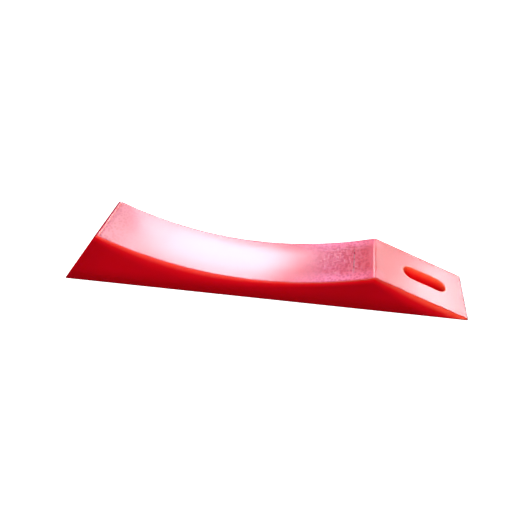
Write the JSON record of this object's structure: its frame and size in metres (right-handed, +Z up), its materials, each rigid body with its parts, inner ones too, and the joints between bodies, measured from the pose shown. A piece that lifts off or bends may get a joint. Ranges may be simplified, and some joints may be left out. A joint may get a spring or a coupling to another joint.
{
  "type": "felling wedge",
  "caption": "Solid moulded red plastic wedge with a raised raked heel, a hollow saddle top, a ridge and a thin ramp nose pierced by a lanyard slot.",
  "frame": {"origin": "on the sole, midway between the toe and the nose and on the centre line across the width", "axes": "+X from the toe under the heel to the thin nose, +Y across the width, +Z up from the sole"},
  "size_m": [0.25, 0.042, 0.0357],
  "materials": {
    "red_plastic": "satin moulded plastic, slightly translucent, with a fine grain on the top faces and smoother sides"
  },
  "bodies": {
    "root": {"wedge_body": "red_plastic"}
  },
  "joints": []
}
